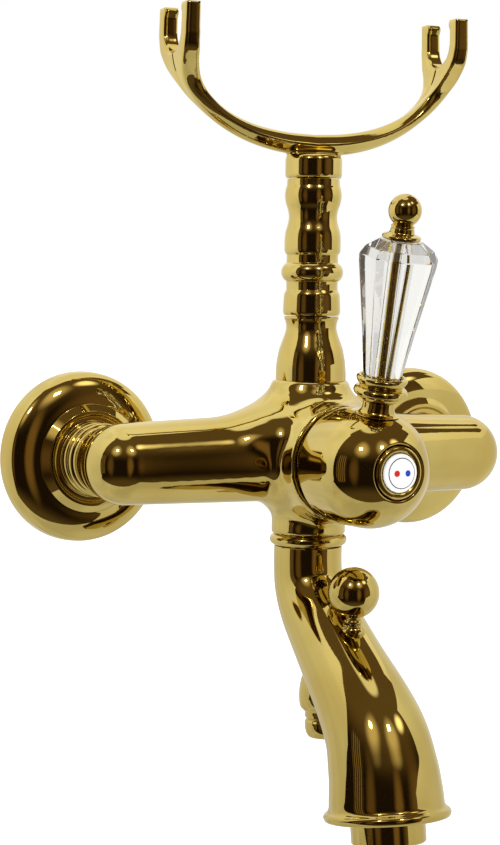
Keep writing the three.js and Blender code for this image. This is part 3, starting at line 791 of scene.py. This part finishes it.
# ---- handset cradle ---------------------------------------------------------------------
BOW_OUTER = flow([(0, 114.2), (14, 115.4), (26, 118.4), (36, 122.9), (44.4, 128.6), (51, 135),
                  (55.4, 141.6), (57.4, 148.5), (57.6, 158)], 5)
BOW_INNER = flow([(51.6, 158), (51.2, 152), (49.6, 145), (46.6, 139.4), (41.4, 133.8),
                  (34, 129), (24, 125.2), (12, 123), (0, 122.3)], 5)
HALF_BOW = [*BOW_OUTER, (57.3, 167.5), (51.5, 167.5), *BOW_INNER]
BAR_FLANK = flow([(4.3, 132), (5.2, 138.6), (9.2, 145.6), (12.6, 150.6), (14.2, 156)], 5)
FORK_SIDE = [(0, 100), (4.3, 100), *BAR_FLANK, (14.3, 167.5), (8.6, 167.5), (7.4, 165.6),
             (8.7, 163.2), *[(8.7 * math.cos(a), 158.7 + 8.7 * math.sin(a))
                             for a in np.radians(np.linspace(0, -90, 14))]]
CRADLE_HUB = [(0, 92.6), (6, 92.6), (6, 106), (10.2, 106), (10.7, 107), (10.7, 113),
              (10.2, 114.2), (9, 114.8), (0, 115)]
RIDGE = 4.6  # half the bow's thickness at the ridge along its front
FORK_START = 124  # height where the bow begins to turn into the forks
FORK_SPAN = 22


def line_distance(r, h, line):
    """Distance to an open line."""
    closest = np.full(r.shape, 1e9)
    for (r0, h0), (r1, h1) in zip(line, line[1:]):
        dr, dh = r1 - r0, h1 - h0
        t = np.clip(((r - r0) * dr + (h - h0) * dh) / (dr * dr + dh * dh), 0, 1)
        closest = np.minimum(closest, (r - r0 - t * dr) ** 2 + (h - h0 - t * dh) ** 2)
    return np.sqrt(closest)


def cradle_field(p):
    """A ridged bow between two forks, on a round hub."""
    x, y, z = p.T
    front = outline_distance(np.abs(x), z, HALF_BOW)
    outer, inner = (line_distance(np.abs(x), z, line) for line in (BOW_OUTER, BOW_INNER))
    across = 2 * outer / (outer + inner) - 1
    roof = RIDGE * (1.08 - 0.72 * np.sqrt(across * across + 0.012))
    side = outline_distance(np.abs(y), z, FORK_SIDE)
    fork = np.clip((z - FORK_START) / FORK_SPAN, 0, 1)
    fork = fork * fork * (3 - 2 * fork)
    side = (np.abs(y) - roof) * 0.78 * (1 - fork) + side * fork
    yoke = cut(front, -side, 1.5)
    hub = outline_distance(np.hypot(x, y), z, CRADLE_HUB)
    return blended(yoke, hub, 2.2)


cradle_shape, cradle_normals = cast(cradle_field, (-60, -16, 90), (60, 16, 169), 0.5, 2)
spin = Matrix.Rotation(CRADLE_TURN, 4, "Z")
piece("cradle_cast", moved(cradle_shape, (0, COLUMN_Y, 0), spin), "cradle",
      normals=cradle_normals @ np.array(spin.to_3x3()).T)


# ---- spout ------------------------------------------------------------------------------
SPOUT_LINE = [(COLUMN_Y, -32.6), (COLUMN_Y, -39), (-47.6, -47.4), (-53, -56), (-62, -64.4),
              (-75.6, -76.8), (-87, -87), (-95.8, -97), (-100.2, -107.4), (-102, -114),
              (-103.3, -122.4), (-103.7, -125.2)]
SPOUT_SWELL = [(0, 12.9), (0.1, 13), (0.2, 13.6), (0.32, 14.6), (0.45, 15.6), (0.58, 16.9),
               (0.7, 18.3), (0.8, 19.5), (0.88, 20.3), (0.93, 20.8)]
MOUTH_R = 14.3
MOUTH_DEPTH = 10.4


def spout_path():
    """The centre line as points, lengths along it and directions."""
    line = np.array(flow(SPOUT_LINE, 24))
    for _ in range(40):
        line[1:-1] = (line[:-2] + 2 * line[1:-1] + line[2:]) / 4
    run = np.concatenate([[0], np.cumsum(np.linalg.norm(np.diff(line, axis=0), axis=1))])
    along = np.gradient(line, run, axis=0)
    along /= np.linalg.norm(along, axis=1)[:, None]
    return line, run, along


def bent_to_spout(shape):
    """A straight turned shape bent so that its axis follows the spout's centre line."""
    points, faces = shape
    line, run, along = spout_path()
    h = np.clip(points[:, 2], 0, run[-1])
    y, z = (np.interp(h, run, line[:, i]) for i in (0, 1))
    dy, dz = (np.interp(h, run, along[:, i]) for i in (0, 1))
    size = np.hypot(dy, dz)
    dy, dz = dy / size, dz / size
    return np.stack([points[:, 0], y - dz * points[:, 1], z + dy * points[:, 1]], 1), faces


def spout_shape():
    """The swan shell, the plain neck inside the body's outlet and the boss for the hose."""
    length = spout_path()[1][-1]
    swell = [(r, share * length) for share, r in flow(SPOUT_SWELL, 6)]
    lip = flow([(20.8, 0.93 * length), (21.0, 0.955 * length), (21.6, 0.966 * length),
                (22.7, 0.974 * length), (23.15, 0.984 * length), (22.6, 0.996 * length),
                (21.6, length)], 5)
    outline = soften([
        (6.5, 0), *swell, *lip[1:], (MOUTH_R, length), (MOUTH_R, length - MOUTH_DEPTH),
        (12.4, length - MOUTH_DEPTH), (12.4, length * 0.6), (9, length * 0.15),
    ], 0.4)
    shell = bent_to_spout(turned(closer(outline, 1.2), 144))
    neck = moved(turned(soften([(6.5, -18.7), (9.4, -18.7), (9.4, -33), (6.5, -33)], 0.2)),
                 (0, COLUMN_Y, 0))
    boss = moved(turned(soften([
        (4.8, -93.5), *flow([(8.4, -93.5), (9.7, -92), (10.2, -89), (10.1, -85), (9.3, -81),
                             (7.8, -77)], 4), (4.8, -77),
    ], 0.2)), (0, HOSE_Y, 0))
    return join(shell, neck, boss)


piece("spout_cast", spout_shape(), "spout")
piece("spout_ring_turned", on_column(soften([
    (9.8, -32.3), (12.4, -32.3), *bow(12.5, -30.25, 2.15, -72, 72, 16), (12.4, -28.2), (9.8, -28.2),
], 0.15)), "spout_ring")
piece("hose_outlet_turned", moved(turned(soften([
    (4.6, -103.5), (6.0, -103.5), *flow([(6.4, -103.4), (7.3, -102.2), (7.8, -100.2),
                                         (7.9, -97.6)], 3),
    (7.4, -96.9), (7.4, -96.3), (7.9, -95.8), (7.9, -93.8), (7.7, -83.6), (4.6, -83.6),
], 0.2)), (0, HOSE_Y, 0)), "hose_outlet")


# ---- aerator ----------------------------------------------------------------------------
piece("aerator_shell_turned", moved(turned(soften([
    (9.8, -11.4), (12.9, -11.4), (13.6, -10.7), (13.6, 5), (11.2, 5), (11.2, -9.6), (9.8, -9.6),
], 0.3)), OUTLET, OUTLET_TURN), "aerator_shell")


# ---- diverter ---------------------------------------------------------------------------
def on_diverter(outline, steps=72):
    return moved(turned(outline, steps), (0, DIVERTER_Y, 0))


piece("diverter_gland_turned", on_diverter(soften([
    (1.9, -66), (4.2, -66), (4.2, -62.6), *bow(2.6, -60.6, 2.1, -62, 62, 12), (3.3, -58.3),
    (1.9, -58.3), (1.9, -61.4), (3.1, -61.4), (3.1, -65), (1.9, -65),
], 0.12)), "diverter_gland")
piece("diverter_knob_turned", on_diverter(soften([
    (1.9, -57.8), (3.3, -57.8), (3.6, -57.2), (3.3, -56.5), (2.8, -56.1),
    *bow(0, -46.6, 9.5, -72, 90, 36), (0, -48), (1.9, -48),
], 0.12)), "diverter_knob")
piece("diverter_rod_turned", on_diverter(soften([
    (0, -88.4), (1.6, -88.4), (1.6, -48.3), (0, -48.3),
], 0.2, closed=False), 40), "diverter_rod")


# ---- studio -----------------------------------------------------------------------------
AIM = Vector((-0.03404, -0.06, 0.01566))
CAMERA_TURN = math.radians(-30.0)
CAMERA_PITCH = math.radians(3.86)
CAMERA_ROLL = math.radians(0.75)
CAMERA_DISTANCE = 0.75896
CAMERA_LENS = 88.55
FLOOR_RADIUS = 9.0
FLOOR_DROP = 0.12  # below the faucet's lowest point
CLOTH_WHITE = (1.0, 0.985, 0.94, 1)
WALL_BROWN_LOW = (0.014, 0.008, 0.005, 1)
WALL_BROWN_HIGH = (0.13, 0.085, 0.04, 1)
FLOOR_BROWN = (0.10, 0.07, 0.035, 1)
LAMP_GLOW = (0.75, 0.62, 0.42, 1)
WINDOW_WHITE = (2.0, 1.85, 1.5, 1)
BLIND_BROWN = (0.24, 0.16, 0.07, 1)


def make_camera():
    data = bpy.data.cameras.new("studio_camera")
    data.lens = CAMERA_LENS
    data.sensor_width = 36
    data.clip_start = 0.01
    camera = bpy.data.objects.new("studio_camera", data)
    bpy.context.scene.collection.objects.link(camera)
    back = Vector((math.sin(CAMERA_TURN) * math.cos(CAMERA_PITCH),
                   -math.cos(CAMERA_TURN) * math.cos(CAMERA_PITCH), math.sin(CAMERA_PITCH)))
    right = Vector((math.cos(CAMERA_TURN), math.sin(CAMERA_TURN), 0))
    up = back.cross(right)
    across = math.cos(CAMERA_ROLL) * right + math.sin(CAMERA_ROLL) * up
    above = -math.sin(CAMERA_ROLL) * right + math.cos(CAMERA_ROLL) * up
    turn = Matrix((across, above, back)).transposed()
    camera.matrix_world = Matrix.Translation(AIM + back * CAMERA_DISTANCE) @ turn.to_4x4()
    bpy.context.scene.camera = camera


def make_floor():
    """A large pale floor well below the faucet, with a round edge."""
    work = bmesh.new()
    bmesh.ops.create_circle(work, cap_ends=True, segments=128, radius=FLOOR_RADIUS)
    mesh = bpy.data.meshes.new("studio_floor")
    work.to_mesh(mesh)
    work.free()
    floor = bpy.data.objects.new("studio_floor", mesh)
    floor.location = (0, 0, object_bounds()[0].z - FLOOR_DROP)
    bpy.context.scene.collection.objects.link(floor)
    material, b, skin = new_material("pale_floor")
    tone = b.ramp(b.noise(b.place(), 3.0, 2.0), 0.3, 0.7)
    b.put(skin.inputs["Base Color"], b.mix(tone, (0.93, 0.93, 0.93, 1), (0.91, 0.91, 0.91, 1)))
    skin.inputs["Roughness"].default_value = 0.9
    skin.inputs["Emission Color"].default_value = (1, 1, 1, 1)
    skin.inputs["Emission Strength"].default_value = 0.45
    mesh.materials.append(material)
    floor.visible_glossy = False
    floor.visible_transmission = False


def make_softbox(name, turn, rise, distance, size, power):
    """A square soft light aimed at the faucet, turn and rise in degrees from the camera's line."""
    data = bpy.data.lights.new(name, "AREA")
    data.size = size
    data.energy = power
    lamp = bpy.data.objects.new(name, data)
    heading = CAMERA_TURN + math.radians(turn)
    rise = math.radians(rise)
    back = Vector((math.sin(heading) * math.cos(rise), -math.cos(heading) * math.cos(rise),
                   math.sin(rise)))
    lamp.location = AIM + back * distance
    lamp.rotation_mode = "QUATERNION"
    lamp.rotation_quaternion = back.to_track_quat("Z", "Y")
    bpy.context.scene.collection.objects.link(lamp)


def make_tent_cloth():
    """White cloth close round the faucet, open on the camera's side: a left wall, a near and a
    far right wall, a back wall, a ceiling and a floor. It glows more towards the top."""
    left, right, far_right, side = -0.21, 0.12, 0.30, 0.7
    back, low, high, right_top = -0.42, -0.258, 0.35, 0.055
    sheets = [
        [(left, back, low), (left, -0.03, low), (left, -0.03, -0.2), (left, 0.06, -0.06),
         (left, 0.06, high), (left, back, high)],
        [(right, back, low), (right, 0.09, low), (right, 0.09, -0.09), (right, 0.03, -0.06),
         (right, 0.03, right_top), (right, back, right_top)],
        [(far_right, back, low), (far_right, 0, low), (far_right, 0, 0.25),
         (far_right, -0.2, 0.25), (far_right, -0.2, high), (far_right, back, high)],
        [(left, back, low), (far_right, back, low), (far_right, back, high), (left, back, high)],
        [(-side, back, high), (-side, 0.1, high), (0, 0.01, high), (0.09, -0.15, high),
         (0.2, -0.3, high), (side, -0.33, high), (side, back, high)],
        [(-side, back, low), (side, back, low), (side, 0.149, low), (-side, 0.149, low)],
    ]
    corners, faces = [], []
    for sheet in sheets:
        faces.append(tuple(range(len(corners), len(corners) + len(sheet))))
        corners += sheet
    mesh = bpy.data.meshes.new("tent_cloth")
    mesh.from_pydata(corners, [], faces)
    cloth = bpy.data.objects.new("tent_cloth", mesh)
    right_way = Vector((math.cos(CAMERA_TURN), math.sin(CAMERA_TURN), 0))
    front_way = Vector((math.sin(CAMERA_TURN), -math.cos(CAMERA_TURN), 0))
    frame_of_tent = Matrix((right_way, front_way, Vector((0, 0, 1)))).transposed().to_4x4()
    cloth.matrix_world = Matrix.Translation(DOME * MM) @ frame_of_tent
    bpy.context.scene.collection.objects.link(cloth)
    material = bpy.data.materials.new("tent_cloth")
    material.use_nodes = True
    b = Bench(material.node_tree)
    glow = b.node("ShaderNodeEmission")
    spot = b.node("ShaderNodeSeparateXYZ")
    b.put(spot.inputs[0], b.place())
    folds = b.math("MULTIPLY", b.ramp(b.noise(b.place(), 5.0, 2.0), 0.3, 0.7), 0.16)
    lift = b.math("SUBTRACT", b.ramp(spot.outputs["Z"], low, high, 0.72, 1.15), folds)
    b.put(glow.inputs["Color"], CLOTH_WHITE)
    b.put(glow.inputs["Strength"], lift)
    b.put(b.node("ShaderNodeOutputMaterial").inputs["Surface"], glow.outputs[0])
    mesh.materials.append(material)
    cloth.visible_camera = False
    cloth.visible_diffuse = False
    cloth.visible_shadow = False


def make_room():
    """A dim brown room beyond the tent's open side, and plain white light for matt surfaces."""
    world = bpy.data.worlds.new("studio_room")
    bpy.context.scene.world = world
    world.use_nodes = True
    b = Bench(world.node_tree)
    ray = b.node("ShaderNodeTexCoord").outputs["Generated"]

    def along(direction):
        dot = b.node("ShaderNodeVectorMath", operation="DOT_PRODUCT")
        b.put(dot.inputs[0], ray)
        dot.inputs[1].default_value = direction
        return dot.outputs["Value"]

    ahead = (math.sin(CAMERA_TURN), -math.cos(CAMERA_TURN), 0)
    right = (math.cos(CAMERA_TURN), math.sin(CAMERA_TURN), 0)
    turn = b.math("DEGREES", b.math("ARCTAN2", along(right), along(ahead)))
    rise = b.math("DEGREES", b.math("ARCSINE", along((0, 0, 1))))

    def patch(turn_at, rise_at, half_turn, half_rise, power, soft):
        """1 inside a rounded window of directions, 0 outside."""
        a = b.math("ABSOLUTE", b.math("DIVIDE", b.math("SUBTRACT", turn, turn_at), half_turn))
        c = b.math("ABSOLUTE", b.math("DIVIDE", b.math("SUBTRACT", rise, rise_at), half_rise))
        total = b.math("ADD", b.math("POWER", a, power), b.math("POWER", c, power))
        return b.ramp(b.math("POWER", total, 1 / power), 1 - soft, 1 + soft, 1.0, 0.0)

    room = b.mix(b.ramp(rise, 12.0, 46.0), WALL_BROWN_LOW, WALL_BROWN_HIGH)
    room = b.mix(b.ramp(rise, -24.0, -48.0), room, FLOOR_BROWN)
    for centre, height, half_turn, half_rise, colour in (
        (-22.0, 41.0, 14.0, 12.0, LAMP_GLOW),
        (29.0, 42.0, 14.0, 12.0, LAMP_GLOW),
        (22.0, 0.0, 8.0, 24.0, (0.20, 0.12, 0.05, 1)),
        (-34.0, 0.0, 8.0, 22.0, (0.12, 0.07, 0.03, 1)),
        (62.0, 2.0, 15.0, 24.0, (0.15, 0.09, 0.04, 1)),
        (64.0, 46.0, 10.0, 6.0, WINDOW_WHITE),
    ):
        room = b.mix(patch(centre, height, half_turn, half_rise, 2.0, 0.6), room, colour)
    stripes = b.math("GREATER_THAN", b.math("SINE", b.math("MULTIPLY", turn, 1.5)), 0.1)
    blind = b.math("MULTIPLY", patch(-60.0, 2.0, 10.0, 22.0, 6.0, 0.1), stripes)
    room = b.mix(blind, room, BLIND_BROWN)
    room = b.mix(b.ramp(rise, 74.0, 78.0), room, CLOTH_WHITE)
    path = b.node("ShaderNodeLightPath").outputs
    seen = b.math("MAXIMUM", path["Is Glossy Ray"], path["Is Transmission Ray"])
    background = b.node("ShaderNodeBackground")
    b.put(background.inputs["Color"], b.mix(seen, (1, 1, 1, 1), room))
    b.put(b.node("ShaderNodeOutputWorld").inputs["Surface"], background.outputs[0])


make_camera()
make_floor()
make_tent_cloth()
make_room()
make_softbox("softbox_left", -22, 41, 1.0, 0.10, 0.4)
make_softbox("softbox_right", 29, 42, 1.0, 0.10, 0.4)
bpy.context.scene.view_settings.view_transform = "Standard"
